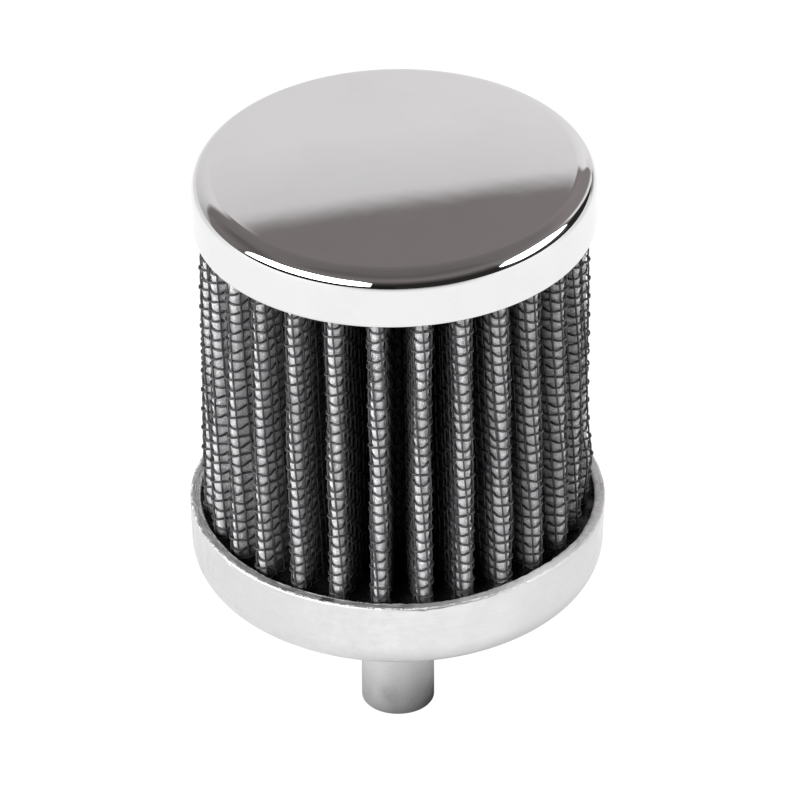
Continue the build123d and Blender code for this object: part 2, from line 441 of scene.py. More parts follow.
gauze = piece("cotton_gauze", verts[used], remap[quads], slot="gauze",
              replaces=("gauze_media",),
              attrs={"cell": cell_all[used], "depth": depth_all[used],
                     "weave": weave_all[used] * MM})

# ---------------------------------------------------------------- inner cloth
# a plain sheet just behind the cotton, so that it leans as the pleats do
k3 = np.arange(S2.size).reshape(S2.shape)
face = np.stack([k3[:-1, :-1], k3[1:, :-1], k3[1:, 1:], k3[:-1, 1:]], -1).reshape(-1, 4)
sides = [cloth(I2, X2, Z2, np.full_like(Z2, d))[0].reshape(-1, 3) for d in (-0.74, -0.94)]
lining = piece("inner_lining", np.concatenate(sides),
               np.concatenate([face, face[:, ::-1] + S2.size]), slot="screen_wire",
               replaces=("inner_screen",))

# --------------------------------------------------------------- bottom resin
slope = (BASE_R - BASE_R_LOW) / (BASE_H - BASE_EDGE_R)


def cup_inner(z):
    return BASE_R_LOW - BASE_WALL + slope * (z - BASE_EDGE_R)


WALL_GAP = 0.02
er_i = BASE_EDGE_R - BASE_WALL
radii = np.concatenate([[NECK_R + 0.01], np.linspace(5.6, 11.4, 5),
                        np.linspace(12.2, 22.0, 18), np.linspace(22.35, 25.45, 14),
                        [25.58, 25.66, cup_inner(9.6) - WALL_GAP]])
prof = [(r, RESIN_Z) for r in radii]
n_top = len(prof)
prof += [(cup_inner(8.2) - WALL_GAP, 8.2), (cup_inner(BASE_EDGE_R) - WALL_GAP, BASE_EDGE_R)]
prof += arc(BASE_R_LOW - BASE_EDGE_R, BASE_EDGE_R, er_i - WALL_GAP, -15, -90, 6)
prof += [(FLANGE_R + 0.02, BASE_WALL + WALL_GAP), (FLANGE_R + 0.02, BASE_WALL + FLANGE_T + 0.01),
         (NECK_R + 0.01, BASE_WALL + FLANGE_T + 0.01)]
NA = 27 * 30
v, q, t = lathe(prof, NA, loop=True)
v = v.reshape(len(prof), NA, 3)
top = v[:n_top]
px, py = top[..., 0] - PACK_DX, top[..., 1]
pr = np.hypot(px, py)
pang = np.arctan2(px, -py)
foot = angle(np.arange(N), np.full(N, RESIN_Z))
diff = np.abs((pang[..., None] - foot + np.pi) % (2 * np.pi) - np.pi)
near = diff.argmin(-1)
da = np.take_along_axis(diff, near[..., None], -1)[..., 0]
lat = pr * np.sin(da)
rad = pr * np.cos(da)
tip_c = 25.1 - PLEAT_HALF
dist = np.where(rad > tip_c, np.hypot(rad - tip_c, lat), lat) - 1.12
climb = 0.60 + 0.25 * rng.normal(size=N)[near] + 0.22 * Ripple(2.5, 9, 24)(top)
men = np.clip(climb, 0.2, 1.3) * np.exp(-np.clip(dist, 0, None) / 0.55)
wall_gap = np.clip(cup_inner(RESIN_Z) - np.hypot(top[..., 0], top[..., 1]), 0, None)
lip = (0.26 + 0.10 * Ripple(5, 14, 16)(top)) * np.exp(-wall_gap / 0.45)
swell = 0.10 * Ripple(4, 12, 24)(top) + 0.05 * Ripple(1.6, 4, 24)(top)
zone = np.clip((pr - 11.5) / 1.5, 0, 1)
top[..., 2] = RESIN_Z - 0.12 + (men + swell) * zone + lip
top[-1, :, 2] = np.maximum(top[-1, :, 2], RESIN_Z + 0.1)
v[:n_top] = top
resin = piece("potting_resin", v.reshape(-1, 3), q, slot="resin", replaces=("bottom_potting",))

# -------------------------------------------------------------------- base cup
ri = BASE_R - BASE_WALL
prof = [(NECK_R + 0.005, 0.0), (6.0, 0.0), (10.0, 0.0), (14.0, 0.0), (18.0, 0.0), (20.6, 0.0)]
prof += arc(BASE_R_LOW - BASE_EDGE_R, BASE_EDGE_R, BASE_EDGE_R, -90, 0, 15)
zs = np.linspace(BASE_EDGE_R, BASE_H - 0.3, 12)[1:]
prof += [(BASE_R_LOW + slope * (z - BASE_EDGE_R), z) for z in zs]
n_wall_end = len(prof)
prof += [(BASE_R - 0.02, BASE_H - 0.14), (BASE_R - 0.07, BASE_H - 0.05), (BASE_R - 0.17, BASE_H)]
prof += [(r, BASE_H) for r in (26.62, 26.42, 26.22, 26.05)]
burr = ri - 0.22
prof += [(burr + 0.14, BASE_H), (burr + 0.05, BASE_H - 0.06), (burr, BASE_H - 0.16)]
n_rim_end = len(prof)
prof += [(cup_inner(z), z) for z in (10.0, 9.4, 8.6, 7.0, BASE_EDGE_R)]
prof += arc(BASE_R_LOW - BASE_EDGE_R, BASE_EDGE_R, er_i, -15, -90, 6)
prof += [(14.0, BASE_WALL), (7.0, BASE_WALL), (NECK_R + 0.005, BASE_WALL)]
NB = 900
v, q, t = lathe(prof, NB, loop=True)
v = v.reshape(len(prof), NB, 3)
th = np.arange(NB) * 2 * np.pi / NB
# the wall: faint dents and waves
w = v[6:n_wall_end]
hgt = np.clip((w[..., 2] - 1) / 6, 0, 1)
push = (0.018 * Ripple(7, 22, 24)(w) + 0.007 * Ripple(2.5, 6, 24)(w)) * hgt
rr = np.hypot(w[..., 0], w[..., 1])
w[..., 0] *= (rr + push) / rr
w[..., 1] *= (rr + push) / rr
# the rim: cut rough, with small nicks along both edges
rim = v[n_wall_end:n_rim_end]
rough = 0.022 * Ripple(0.9, 2.2, 40)(rim) + 0.03 * Ripple(3, 9, 24)(rim)
nick = np.zeros(NB)
for c, dpt, wid in zip(rng.uniform(0, 2 * np.pi, 110), rng.uniform(0.03, 0.11, 110),
                       rng.uniform(0.004, 0.014, 110)):
    dd = np.abs((th - c + np.pi) % (2 * np.pi) - np.pi)
    nick = np.maximum(nick, dpt * np.exp(-(dd / wid) ** 2))
nick2 = np.zeros(NB)
for c, dpt, wid in zip(rng.uniform(0, 2 * np.pi, 60), rng.uniform(0.03, 0.12, 60),
                       rng.uniform(0.004, 0.012, 60)):
    dd = np.abs((th - c + np.pi) % (2 * np.pi) - np.pi)
    nick2 = np.maximum(nick2, dpt * np.exp(-(dd / wid) ** 2))
m = len(rim)
outer_w = np.clip(1 - np.arange(m) / 3.5, 0, 1)[:, None]
inner_w = np.clip(1 - (m - 1 - np.arange(m)) / 3.5, 0, 1)[:, None]
rim[..., 2] += rough - nick * outer_w - nick2 * inner_w
rim[..., 2] = np.minimum(rim[..., 2], BASE_H + 0.02)
rim[..., 2] += 0.42 * np.exp(-((np.degrees(th) - 45) / 20) ** 2)
cup = piece("base_pan", v.reshape(-1, 3), q, slot="cup_metal", replaces=("base_cup",))

# ---------------------------------------------------------------------- spigot
c = 0.3
prof = [(BORE_R, -SPIGOT_LEN + c), (BORE_R + 0.1, -SPIGOT_LEN + 0.12), (BORE_R + c, -SPIGOT_LEN),
        (SPIGOT_R - c, -SPIGOT_LEN), (SPIGOT_R - 0.1, -SPIGOT_LEN + 0.08),
        (SPIGOT_R - 0.02, -SPIGOT_LEN + 0.2), (SPIGOT_R, -SPIGOT_LEN + 0.4)]
prof += [(SPIGOT_R, z) for z in np.linspace(-SPIGOT_LEN + 0.4, 0, 26)[1:]]
prof += [(NECK_R, 0.0), (NECK_R, BASE_WALL), (FLANGE_R, BASE_WALL),
         (FLANGE_R, BASE_WALL + FLANGE_T), (NECK_R, BASE_WALL + FLANGE_T),
         (NECK_R, SPIGOT_TOP - c), (NECK_R - c, SPIGOT_TOP),
         (BORE_R + c, SPIGOT_TOP), (BORE_R, SPIGOT_TOP - c)]
v, q, t = lathe(prof, 160, loop=True)
rr = np.hypot(v[:, 0], v[:, 1])
wob = 0.010 * Ripple(4, 12, 20)(v) * ((rr > 4.7) & (v[:, 2] < -0.5) & (v[:, 2] > -21.2))
v[:, 0] *= (rr + wob) / rr
v[:, 1] *= (rr + wob) / rr
stub = piece("hose_spigot", v, q, slot="spigot_metal", replaces=("spigot",))

# ------------------------------------------------------------------------- cap
flat = CAP_R - CAP_EDGE_R
dome_r = (flat ** 2 + CAP_CROWN ** 2) / (2 * CAP_CROWN)


def dome(r, z):
    return z - (dome_r - math.sqrt(dome_r ** 2 - r * r))


prof = [(0, CAP_Z1)] + [(r, dome(r, CAP_Z1)) for r in np.linspace(0.8, flat, 32)]
prof += arc(flat, CAP_Z1 - CAP_CROWN - CAP_EDGE_R, CAP_EDGE_R, 88, 0, 24)
prof += [(CAP_R, z) for z in np.linspace(CAP_Z1 - CAP_CROWN - CAP_EDGE_R, CAP_Z0 + 0.2, 9)[1:]]
prof += [(CAP_R - 0.03, CAP_Z0 + 0.08), (CAP_R - 0.12, CAP_Z0 + 0.01), (CAP_R - 0.25, CAP_Z0),
         (CAP_R - CAP_WALL + 0.12, CAP_Z0), (CAP_R - CAP_WALL + 0.02, CAP_Z0 + 0.08),
         (CAP_R - CAP_WALL, CAP_Z0 + 0.2)]
prof += [(CAP_R - CAP_WALL, 54.5), (CAP_R - CAP_WALL, CAP_Z1 - CAP_CROWN - CAP_EDGE_R)]
prof += arc(flat, CAP_Z1 - CAP_CROWN - CAP_EDGE_R, CAP_EDGE_R - CAP_WALL, 15, 85, 6)
prof += [(12.0, dome(12.0, CAP_Z1 - CAP_WALL)), (0, CAP_Z1 - CAP_WALL)]
v, q, t = lathe(prof, 360)
peel = 0.00014 * Ripple(5, 12, 40)(v) + 0.00007 * Ripple(2, 4, 40)(v)
up = np.clip((v[:, 2] - (CAP_Z1 - 1.2)) / 0.6, 0, 1)
v[:, 2] += peel * up
rr = np.maximum(np.hypot(v[:, 0], v[:, 1]), 1e-6)
skirt = 1 - up
push = (0.0008 * Ripple(6, 14, 30)(v)) * skirt
v[:, 0] *= (rr + push) / rr
v[:, 1] *= (rr + push) / rr
ct_, st_ = math.cos(math.radians(CAP_TILT)), math.sin(math.radians(CAP_TILT))
w = v - [0, 0, CAP_PIVOT_Z]
v = np.stack([w[:, 0] * ct_ + w[:, 2] * st_ + CAP_DX, w[:, 1],
              -w[:, 0] * st_ + w[:, 2] * ct_ + CAP_PIVOT_Z], 1)
cap = piece("chromed_cap", v, q, t, slot="cap_chrome", replaces=("top_cap",))


# ------------------------------------------------------------------- materials
class Nodes:
    """Short names for the nodes used in the materials."""

    def __init__(self, name, world=None):
        if world is None:
            self.mat = bpy.data.materials.new(name)
            self.mat.use_nodes = True
            self.t = self.mat.node_tree
            self.out = self.t.nodes["Material Output"]
            self.bsdf = self.t.nodes["Principled BSDF"]
        else:
            world.use_nodes = True
            self.t = world.node_tree
            self.out = self.t.nodes["World Output"]
            self.bg = self.t.nodes["Background"]

    def link(self, a, b):
        self.t.links.new(a, b)

    def node(self, kind, **kw):
        n = self.t.nodes.new(kind)
        for k, v in kw.items():
            setattr(n, k, v)
        return n

    def put(self, sock, value):
        if isinstance(value, bpy.types.NodeSocket):
            self.link(value, sock)
        elif isinstance(value, (tuple, list)) and len(value) == 3 and sock.type == "RGBA":
            sock.default_value = (*value, 1)
        else:
            sock.default_value = value

    def math(self, op, a, b=0.0, c=0.0, clamp=False):
        n = self.node("ShaderNodeMath", operation=op, use_clamp=clamp)
        for s, v in zip(n.inputs, (a, b, c)):
            self.put(s, v)
        return n.outputs[0]

    def vmath(self, op, a, b=(0, 0, 0), scale=None):
        n = self.node("ShaderNodeVectorMath", operation=op)
        self.put(n.inputs[0], a)
        if scale is not None:
            self.put(n.inputs["Scale"], scale)
        else:
            self.put(n.inputs[1], b)
        return n.outputs["Value"] if op in ("DOT_PRODUCT", "LENGTH", "DISTANCE") else n.outputs[0]

    def mix(self, f, a, b, blend="MIX"):
        n = self.node("ShaderNodeMix", data_type="RGBA", blend_type=blend)
        self.put(n.inputs["Factor"], f)
        self.put(n.inputs[6], a)
        self.put(n.inputs[7], b)
        return n.outputs[2]

    def ramp(self, f, stops, ease="LINEAR"):
        n = self.node("ShaderNodeValToRGB")
        n.color_ramp.interpolation = ease
        els = n.color_ramp.elements
        while len(els) < len(stops):
            els.new(0.5)
        for e, (p, col) in zip(els, stops):
            e.position = p
            e.color = (*col, 1) if isinstance(col, tuple) else (col, col, col, 1)
        self.put(n.inputs[0], f)
        return n.outputs[0]

    def remap(self, v, a, b, c=0.0, d=1.0, smooth=False):
        n = self.node("ShaderNodeMapRange",
                      interpolation_type="SMOOTHSTEP" if smooth else "LINEAR")
        for s, x in zip(n.inputs, (v, a, b, c, d)):
            self.put(s, x)
        return n.outputs[0]

    def noise(self, vec, scale, detail=2.0, rough=0.5, distort=0.0):
        n = self.node("ShaderNodeTexNoise")
        self.put(n.inputs["Vector"], vec)
        n.inputs["Scale"].default_value = scale
        n.inputs["Detail"].default_value = detail
        n.inputs["Roughness"].default_value = rough
        n.inputs["Distortion"].default_value = distort
        return n.outputs[0]

    def voronoi(self, vec, scale, feature="F1", rand=1.0):
        n = self.node("ShaderNodeTexVoronoi", feature=feature)
        self.put(n.inputs["Vector"], vec)
        n.inputs["Scale"].default_value = scale
        n.inputs["Randomness"].default_value = rand
        return n.outputs["Distance"]

    def bump(self, height, strength, distance, normal=None):
        n = self.node("ShaderNodeBump")
        n.inputs["Strength"].default_value = strength
        n.inputs["Distance"].default_value = distance
        self.put(n.inputs["Height"], height)
        if normal is not None:
            self.put(n.inputs["Normal"], normal)
        return n.outputs[0]

    def attr(self, name, out="Fac"):
        return self.node("ShaderNodeAttribute", attribute_name=name).outputs[out]

    def pos(self):
        return self.node("ShaderNodeTexCoord").outputs["Object"]

    def xyz(self, v):
        return self.node_out("ShaderNodeSeparateXYZ", v)

    def node_out(self, kind, v):
        n = self.node(kind)
        self.put(n.inputs[0], v)
        return n.outputs

    def combine(self, x, y, z):
        n = self.node("ShaderNodeCombineXYZ")
        for s, v in zip(n.inputs, (x, y, z)):
            self.put(s, v)
        return n.outputs[0]

    def set(self, **kw):
        for k, v in kw.items():
            self.put(self.bsdf.inputs[k.replace("_", " ")], v)


def mat_chrome():
    m = Nodes("chrome_plate")
    p = m.pos()
    haze = m.noise(p, 260, 3, 0.6)
    film = m.noise(p, 120, 4, 0.65)
    m.set(Base_Color=m.mix(m.remap(film, 0.45, 0.7, 0, 1, True), (0.835, 0.835, 0.838),
                           (0.815, 0.812, 0.815)),
          Metallic=1.0, Roughness=m.remap(haze, 0.3, 0.7, 0.012, 0.022))
    peel = m.noise(p, 330, 2, 0.5)
    m.set(Normal=m.bump(peel, 1.0, 0.0000006))
    return m.mat


def mat_gauze():
    m = Nodes("cotton_gauze")
    p = m.pos()
    w = m.attr("weave", "Vector")
    cell = m.attr("cell")
    depth = m.attr("depth")
    # threads of the gauze, finer than the screen's cells, and soft creases
    wx, wy, wz = m.xyz(w)[:3]
    drift = m.math("MULTIPLY", m.math("SUBTRACT", m.noise(p, 900, 2), 0.5), 0.0005)
    tx = m.math("SINE", m.math("MULTIPLY", m.math("ADD", wx, drift), 2 * math.pi / 0.00034))
    ty = m.math("SINE", m.math("MULTIPLY", m.math("ADD", wy, drift), 2 * math.pi / 0.00037))
    threads = m.math("MAXIMUM", tx, ty)
    crease = m.noise(p, 3100, 4, 0.7, 0.7)
    clump = m.noise(p, 1100, 2, 0.5)
    tone = m.mix(m.remap(clump, 0.3, 0.72, 0, 1), (0.70, 0.70, 0.72), (0.84, 0.84, 0.85))
    # painted shade in the wrinkles' creases and painted highlight on their crests, keyed to the same
    # noise as the wrinkle bump
    tone = m.mix(m.remap(crease, 0.34, 0.52, 0.50, 0, True), tone, (0.30, 0.30, 0.315))
    tone = m.mix(m.remap(crease, 0.55, 0.68, 0, 0.6, True), tone, (0.93, 0.93, 0.94))
    # painted shade along the wires, where each cell's cotton dips to meet them
    tone = m.mix(m.remap(cell, 0.0, 0.5, 0.25, 0, True), tone, (0.20, 0.20, 0.21))
    px, py, pz = m.xyz(p)[:3]
    # painted shade, deepening into the pleats' valleys and stronger towards the right
    valley_shade = m.math("MULTIPLY", depth, m.remap(px, 0.002, 0.022, 1.0, 2.0))
    tone = m.mix(m.remap(valley_shade, 1.15, 3.9, 0, 1, True), tone, (0.062, 0.062, 0.066))
    soak = m.math("ADD", pz, m.math("MULTIPLY", m.noise(p, 420, 3, 0.6), -0.0030))
    tone = m.mix(m.remap(soak, 0.0084, 0.0096, 0.85, 0, True), tone, (0.035, 0.035, 0.037))
    m.set(Base_Color=tone, Roughness=m.remap(crease, 0.4, 0.6, 0.75, 0.42),
          Specular_IOR_Level=0.35, Sheen_Weight=0.10, Sheen_Roughness=0.5)
    n1 = m.bump(clump, 0.7, 0.00022)
    n2 = m.bump(crease, 1.0, 0.00040, n1)
    m.set(Normal=m.bump(threads, 0.25, 0.00003, n2))
    return m.mat


def mat_wire():
    m = Nodes("coated_wire")
    p = m.pos()
    depth = m.attr("depth")
    tone = m.mix(m.noise(p, 1400, 3, 0.6), (0.030, 0.030, 0.032), (0.078, 0.078, 0.082))
    # painted shade: the wires are darker deeper in the pleats' valleys
    tone = m.mix(m.remap(depth, 1.0, 6.0, 0, 1), tone, (0.020, 0.020, 0.021))
    m.set(Base_Color=tone, Metallic=0.0, Specular_IOR_Level=0.5,
          Roughness=m.math("ADD", m.remap(m.noise(p, 900, 2), 0.3, 0.7, 0.30, 0.48),
                           m.remap(depth, 1.0, 4.0, 0, 0.25)))
    m.set(Normal=m.bump(m.noise(p, 5200, 2), 0.35, 0.00003))
    return m.mat


def mat_resin():
    m = Nodes("black_resin")
    p = m.pos()
    tone = m.mix(m.noise(p, 300, 3, 0.6), (0.008, 0.008, 0.009), (0.022, 0.022, 0.024))
    m.set(Base_Color=tone, Specular_IOR_Level=0.45,
          Roughness=m.remap(m.noise(p, 700, 3, 0.6), 0.3, 0.7, 0.14, 0.34))
    m.set(Normal=m.bump(m.noise(p, 2000, 4, 0.65), 0.9, 0.00014))
    return m.mat


def mat_cup():
    m = Nodes("satin_aluminium")
    p = m.pos()
    x, y, z = m.xyz(p)[:3]
    turn = m.math("MULTIPLY", m.math("ARCTAN2", x, m.math("ABSOLUTE", y)), 180 / math.pi)
    ahead = m.math("LESS_THAN", y, 0.0)
    r = m.vmath("LENGTH", m.combine(x, y, 0.0))
    # the wall: worn and mottled at the left, cleaner to the right; painted shade darkens it towards
    # the right and along its bottom edge
    blotch = m.noise(p, 150, 4, 0.62)
    fine = m.noise(p, 900, 4, 0.65)
    around = m.combine(m.math("MULTIPLY", x, 0.16), m.math("MULTIPLY", y, 0.16), z)
    lines = m.noise(around, 2600, 3, 0.6)
    runs = m.noise(m.combine(x, y, m.math("MULTIPLY", z, 0.22)), 520, 4, 0.7)
    worn = m.remap(turn, -25, 35, 1, 0, True)
    tone = m.mix(m.remap(blotch, 0.35, 0.65, 0, 1), (0.88, 0.88, 0.88), (0.80, 0.80, 0.805))
    tone = m.mix(m.math("MULTIPLY", worn, m.remap(fine, 0.42, 0.66, 0.0, 0.34)), tone,
                 (0.66, 0.66, 0.665))
    tone = m.mix(m.math("MULTIPLY", m.remap(turn, -62, -28, 1, 0, True),
                        m.remap(runs, 0.55, 0.68, 0, 0.4, True)), tone, (0.52, 0.52, 0.525))
    tone = m.mix(m.remap(lines, 0.35, 0.7, 0, 0.16), tone, (0.60, 0.60, 0.60))
    # painted shade: the wall is smoothly darker towards its right side
    tone = m.mix(m.remap(turn, 8, 58, 0, 0.66, True), tone, (0.60, 0.60, 0.60))
    # painted shade: a mottled darker band along the wall's bottom rounding
    edge = m.math("MULTIPLY", m.remap(z, 0.0019, 0.0032, 1, 0, True),
                  m.remap(m.noise(around, 900, 3, 0.6), 0.3, 0.7, 0.0, 0.25))
    tone = m.mix(edge, tone, (0.55, 0.55, 0.55))
    # the rim: turned, so its marks run around; painted shade at its left and front, painted
    # highlights along both edges and over its right-front part
    rim = m.math("MULTIPLY", m.remap(z, 0.01028, 0.01038, 0, 1),
                 m.remap(r, 0.02694, 0.02688, 0, 1))
    ring = m.noise(m.combine(m.math("MULTIPLY", x, 0.10), m.math("MULTIPLY", y, 0.10), r),
                   5200, 3, 0.6)
    bite = m.noise(p, 1500, 4, 0.75)
    # painted shade on the rim's left and front and painted light at its right, by angle around; the
    # ring noise adds its turned marks
    rim_shade_and_marks = m.math("ADD", m.remap(turn, -60, -15, 0.56, 0.68, True),
                  m.remap(turn, -8, 40, 0.0, -0.58, True))
    rim_shade_and_marks = m.math("ADD", rim_shade_and_marks, m.remap(ring, 0.38, 0.62, -0.25, 0.25), clamp=True)
    rim_tone = m.mix(rim_shade_and_marks, (0.90, 0.90, 0.90), (0.16, 0.158, 0.155))
    # painted shade of two small dents at the rim's front
    dent_shade = m.math("ADD",
                  m.remap(m.math("ABSOLUTE", m.math("SUBTRACT", turn, 2.6)), 1.2, 2.6, 0.3, 0, True),
                  m.remap(m.math("ABSOLUTE", m.math("SUBTRACT", turn, -20.0)), 1.4, 2.4, 0.85, 0,
                          True))
    dent_shade = m.math("MULTIPLY", dent_shade, ahead)
    rim_tone = m.mix(dent_shade, rim_tone, (0.05, 0.05, 0.05))
    # painted highlights: bright lines along the rim's outer and inner edges, broken up by noise
    outer = m.math("MULTIPLY", m.remap(r, 0.02658, 0.02672, 0, 1),
                   m.remap(bite, 0.46, 0.56, 0.0, 1.0))
    inner = m.math("MULTIPLY", m.remap(r, 0.02594, 0.02584, 0, 1),
                   m.math("MULTIPLY", m.remap(bite, 0.40, 0.50, 0.0, 1.0),
                          m.remap(turn, -8, 6, 1.0, 0.15, True)))
    # painted highlight over the rim's right-front part, mottled by noise
    right_rim_glint = m.math("MULTIPLY", m.remap(turn, 26, 44, 0, 1, True),
                   m.remap(bite, 0.42, 0.54, 0.25, 1.0))
    right_rim_glint = m.math("MAXIMUM", right_rim_glint, m.math("MULTIPLY", m.remap(turn, 36, 44, 0, 0.9, True),
                                            m.remap(turn, 56, 66, 1, 0, True)))
    rim_glints = m.math("MAXIMUM", right_rim_glint, m.math("MAXIMUM", outer, inner))
    rim_tone = m.mix(rim_glints, rim_tone, (0.97, 0.97, 0.97))
    tone = m.mix(rim, tone, rim_tone)
    # the rim is half diffuse, fully where its painted highlights lie, so that they show as bright
    # diffuse white
    rim_diffuse_share = m.math("MULTIPLY", rim, m.math("ADD", 0.5, m.math("MULTIPLY", rim_glints, 0.5)))
    m.set(Base_Color=tone, Metallic=m.math("SUBTRACT", 1.0, rim_diffuse_share),
          Roughness=m.math("ADD", m.math("MULTIPLY", rim, 0.14),
                           m.math("ADD", m.remap(blotch, 0.3, 0.7, 0.26, 0.36),
                                  m.math("MULTIPLY", worn, m.remap(fine, 0.4, 0.6, 0, 0.10)))))
    n1 = m.bump(lines, 0.35, 0.00002)
    n2 = m.bump(fine, 0.2, 0.000015, n1)
    m.set(Normal=m.bump(m.math("MULTIPLY", m.math("ADD", ring, bite), rim), 1.0, 0.00008, n2))
    return m.mat


def mat_spigot():
    m = Nodes("satin_tube")
    p = m.pos()
    x, y, z = m.xyz(p)[:3]
    drawn = m.noise(m.combine(x, y, m.math("MULTIPLY", z, 0.06)), 1500, 3, 0.6)
    mark = m.remap(m.noise(p, 260, 4, 0.7), 0.60, 0.76, 0, 1, True)
    tone = m.mix(m.noise(p, 240, 4, 0.6), (0.82, 0.82, 0.82), (0.74, 0.74, 0.74))
    tone = m.mix(m.math("MULTIPLY", mark, 0.25), tone, (0.52, 0.51, 0.50))
    spot = m.vmath("DISTANCE", p, (-0.0012, -0.0046, -0.0185))
    stain = m.math("MULTIPLY", m.remap(spot, 0.0002, 0.0019, 1, 0, True),
                   m.remap(m.noise(p, 900, 3, 0.6), 0.35, 0.65, 0.3, 1))
    tone = m.mix(m.math("MULTIPLY", stain, 0.35), tone, (0.38, 0.36, 0.35))
    m.set(Base_Color=tone, Metallic=1.0,
          Roughness=m.remap(m.noise(p, 420, 3, 0.6), 0.3, 0.7, 0.24, 0.34))
    m.set(Normal=m.bump(drawn, 0.2, 0.000008))
    return m.mat


def mat_inner():
    m = Nodes("inner_wire_cloth")
    p = m.pos()
    x, y, z = m.xyz(p)[:3]
    rows = m.math("SINE", m.math("MULTIPLY", z, 2 * math.pi / 0.00144))
    tone = m.mix(m.noise(p, 900, 3), (0.03, 0.03, 0.032), (0.09, 0.09, 0.095))
    m.set(Base_Color=tone, Metallic=0.6, Roughness=0.45, Normal=m.bump(rows, 0.5, 0.0001))
    return m.mat


def mat_floor():
    """White, self-lit as a lit sweep is; its light falls off far in front and behind and in a wedge
    far off to the right, and is a little stronger close around the object: a painted pool of light
    that washes out its shadow.
    """
    m = Nodes("white_floor")
    p = m.pos()
    x, y, z = m.xyz(p)[:3]
    d = m.vmath("LENGTH", m.combine(x, y, 0.0))
    tone = m.mix(m.noise(p, 30, 2), (0.09, 0.09, 0.09), (0.11, 0.11, 0.11))
    turn = m.math("MULTIPLY", m.math("ARCTAN2", x, y), 180 / math.pi)
    full = m.math("ADD", turn, m.math("MULTIPLY", m.math("LESS_THAN", turn, 0.0), 360.0))
    front = m.math("MULTIPLY", m.remap(full, 120, 156, 0, 1, True),
                   m.remap(full, 180, 222, 1, 0, True))
    gap = m.math("MULTIPLY", m.math("MULTIPLY", m.remap(turn, 31, 36, 0, 1, True),
                                    m.remap(turn, 43, 50, 1, 0, True)),
                 m.remap(d, 0.45, 0.9, 0, 0.6, True))
    behind = m.math("MULTIPLY", m.remap(m.math("ABSOLUTE", turn), 100, 60, 0, 1, True),
                    m.remap(d, 0.20, 0.45, 0, 0.27, True))
    far = m.ramp(m.remap(d, 0.0, 2.5), [(0.09, 0.0), (0.154, 0.20), (0.468, 0.63), (0.94, 0.88)])
    ahead = m.math("ADD", m.math("MULTIPLY", front, far), gap)
    glow = m.math("SUBTRACT", m.remap(d, 0.085, 0.13, 1.04, 1.0),
                  m.math("ADD", behind, ahead))
    m.set(Base_Color=tone, Roughness=0.9, Specular_IOR_Level=0.1,
          Emission_Color=(1, 1, 1), Emission_Strength=m.math("MULTIPLY", glow, 0.96))
    return m.mat


def mat_shade():
    """The floor's own shade around the tube, deepest at its right."""
    m = Nodes("floor_shade")
    p = m.pos()
    x, y, z = m.xyz(p)[:3]
    d = m.vmath("LENGTH", m.combine(x, y, 0.0))
    side = m.math("DIVIDE", x, m.math("MAXIMUM", d, 0.001))
    t = m.remap(d, 0.0, 0.110)

    def fall(near, mid, far, rest):
        return m.ramp(t, [(0.045, near), (0.155, mid), (0.31, 0.5 * (mid + far)), (0.50, far),
                          (0.78, rest), (0.97, 1.0)])

    left = fall(0.38, 0.86, 0.82, 0.84)
    front = fall(0.19, 0.68, 0.97, 0.98)
    right = fall(0.03, 0.58, 1.0, 1.0)
    tone = m.mix(m.remap(side, -1, 0, 0, 1, True), left, front)
    tone = m.mix(m.remap(side, 0, 1, 0, 1, True), tone, right)
    m.set(Base_Color=(0.0, 0.0, 0.0), Roughness=1.0, Specular_IOR_Level=0.0,
          Emission_Color=tone, Emission_Strength=1.04)
    return m.mat


def dress(obj, mat):
    if obj.material_slots:
        for s in obj.material_slots:
            s.material = mat
    else:
        obj.data.materials.append(mat)


chrome, wire, cotton, black = mat_chrome(), mat_wire(), mat_gauze(), mat_resin()
alu, tube_metal, inner_cloth = mat_cup(), mat_spigot(), mat_inner()
dress(cap, chrome)
dress(gauze, cotton)
dress(resin, black)
dress(cup, alu)
dress(stub, tube_metal)
dress(lining, inner_cloth)
for o in screens:
    dress(o, wire)
by_node = {"top_cap": chrome, "top_potting": black, "outer_screen": wire,
           "gauze_media": cotton, "inner_screen": inner_cloth, "bottom_potting": black,
           "base_cup": alu, "spigot": tube_metal}
for name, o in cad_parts.items():
    dress(o, by_node[name])

# ----------------------------------------------------------------------- stage
KEY, FILL = 8.6, 6.0
fz = -SPIGOT_LEN
fl = 6000.0
gx = np.linspace(-fl, fl, 13)
FX, FY = np.meshgrid(gx, gx, indexing="ij")
fv = np.stack([FX.ravel(), FY.ravel(), np.full(FX.size, fz - 0.10)], 1)
fi = np.arange(FX.size).reshape(FX.shape)
fq = np.stack([fi[:-1, :-1], fi[1:, :-1], fi[1:, 1:], fi[:-1, 1:]], -1).reshape(-1, 4)
floor = piece("floor", fv, fq)
dress(floor, mat_floor())
sv, sq, st = lathe([(0, fz - 0.02), (4, fz - 0.02), (20, fz - 0.02), (110, fz - 0.02)], 96)
shade = piece("floor_shade", sv, sq, st)
dress(shade, mat_shade())
shade.visible_camera = False


world = bpy.data.worlds.new("studio")
bpy.context.scene.world = world
wn = Nodes("studio", world)
dirv = wn.node("ShaderNodeTexCoord").outputs["Generated"]
dx, dy, dz = wn.xyz(dirv)[:3]
az = wn.math("MULTIPLY", wn.math("ARCTAN2", dx, dy), 180 / math.pi)
el = wn.math("MULTIPLY", wn.math("ARCSINE", dz), 180 / math.pi)


def shift(x, d):
    if isinstance(x, (int, float)) and isinstance(d, (int, float)):
        return x + d
    return wn.math("ADD", x, d)


